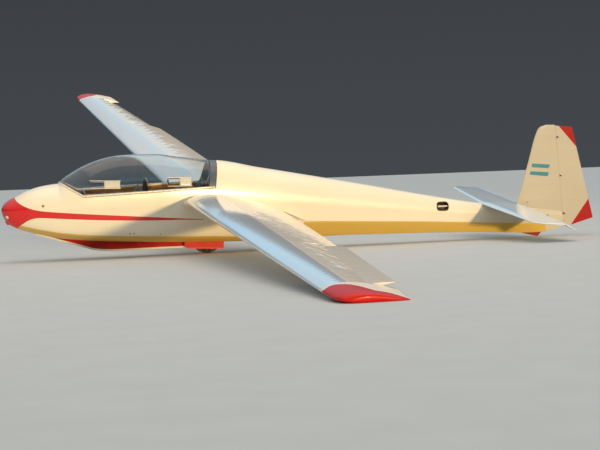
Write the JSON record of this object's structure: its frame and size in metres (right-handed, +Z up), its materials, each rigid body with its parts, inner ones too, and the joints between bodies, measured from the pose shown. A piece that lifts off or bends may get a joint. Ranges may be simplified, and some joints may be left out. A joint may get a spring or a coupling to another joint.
{
  "type": "two-seat training sailplane",
  "caption": "Parked tandem two-seat sailplane with forward-swept wing, bubble canopy, skid and belly wheel, port wing tip down; wheel, canopy and control surfaces turn.",
  "frame": {"origin": "centre of the base of the box round the parked sailplane, on the ground", "axes": "+X aft along the fuselage, +Y to starboard along the span, +Z up from the ground"},
  "size_m": [7.9928, 16.5166, 2.4473],
  "materials": {
    "ivory_paint": "gloss",
    "gelcoat_red": "gloss",
    "wing_fabric": "gloss",
    "wing_tip_paint": "gloss",
    "canopy_rail": "gloss",
    "clear_acrylic": "gloss",
    "plywood": "satin",
    "seat_cloth": "matte",
    "black_panel": "matte",
    "steel": "satin",
    "alloy": "satin",
    "skid_wood": "satin",
    "red_canvas": "satin",
    "red_sheet": "gloss",
    "skid_red_wood": "satin",
    "tyre_rubber": "matte"
  },
  "bodies": {
    "airframe": {"nose_cap": "gelcoat_red", "cockpit_shell_front": "ivory_paint", "cockpit_shell_rear": "ivory_paint", "wing_bay_fuselage": "ivory_paint", "rear_fuselage": "ivory_paint", "tail_cone": "ivory_paint", "cockpit_floor": "plywood", "wheel_box": "plywood", "front_seat": "seat_cloth", "rear_seat": "seat_cloth", "front_panel": "black_panel", "rear_panel": "black_panel", "front_stick": "black_panel", "rear_stick": "black_panel", "rudder_pedal_port": "alloy", "rudder_pedal_starboard": "alloy", "canopy_hinge_front": "steel", "canopy_hinge_rear": "steel", "tailplane": "wing_fabric", "fin": "wing_fabric", "rudder_hinge_rod": "steel", "landing_skid": "skid_wood", "skid_fairing": "red_canvas", "wheel_fairing_port": "red_sheet", "wheel_fairing_starboard": "red_sheet", "tail_skid": "skid_red_wood", "tail_skid_shoe": "steel", "tow_release": "red_sheet", "wheel_axle": "steel", "root_fairing_port": "wing_fabric", "wing_port": "wing_fabric", "aileron_hinge_rod_port": "steel", "wing_tip_port": "wing_tip_paint", "root_fairing_starboard": "wing_fabric", "wing_starboard": "wing_fabric", "aileron_hinge_rod_starboard": "steel", "wing_tip_starboard": "wing_tip_paint"},
    "main_wheel": {"main_tyre": "tyre_rubber", "main_wheel_hub": "alloy"},
    "canopy": {"canopy_frame": "canopy_rail", "canopy_glass_front": "clear_acrylic", "canopy_glass_rear": "clear_acrylic", "vent_pane_front": "clear_acrylic", "vent_pane_rear": "clear_acrylic"},
    "aileron_port": {"aileron_port": "wing_fabric"},
    "aileron_starboard": {"aileron_starboard": "wing_fabric"},
    "elevator": {"elevator_torque_tube": "steel", "elevator_port": "wing_fabric", "elevator_starboard": "wing_fabric"},
    "rudder": {"rudder": "wing_fabric"}
  },
  "joints": [
    {"name": "wheel_spin", "type": "hinge", "parent": "airframe", "child": "main_wheel", "pos_m": [-1.39573, 0.1471, 0.1979], "axis": [0.0017, 0.9897, 0.1429], "continuous": true},
    {"name": "canopy_hinge", "type": "hinge", "parent": "airframe", "child": "canopy", "pos_m": [-2.2107, 0.35925, 0.88005], "axis": [-0.9995, 0.0062, -0.0308], "range_deg": [0, 75]},
    {"name": "aileron_port_hinge", "type": "hinge", "parent": "airframe", "child": "aileron_port", "pos_m": [-1.46127, -6.39703, 0.17759], "axis": [0.1277, 0.989, 0.0749], "range_deg": [-8, 36]},
    {"name": "aileron_starboard_hinge", "type": "hinge", "parent": "airframe", "child": "aileron_starboard", "pos_m": [-1.43922, 6.43, 2.02918], "axis": [-0.1243, 0.9702, 0.2079], "range_deg": [-36, 8]},
    {"name": "elevator_hinge", "type": "hinge", "parent": "airframe", "child": "elevator", "pos_m": [2.93083, 0.10577, 0.43269], "axis": [-0.0017, -0.9897, -0.1429], "range_deg": [0, 56]},
    {"name": "rudder_hinge", "type": "hinge", "parent": "airframe", "child": "rudder", "pos_m": [3.48521, 0.04834, 0.82395], "axis": [-0.1158, -0.1417, 0.9831], "range_deg": [-30, 30]}
  ],
  "couplings": [
    {"joint": "aileron_starboard_hinge", "follows": "aileron_port_hinge", "ratio": -1}
  ]
}
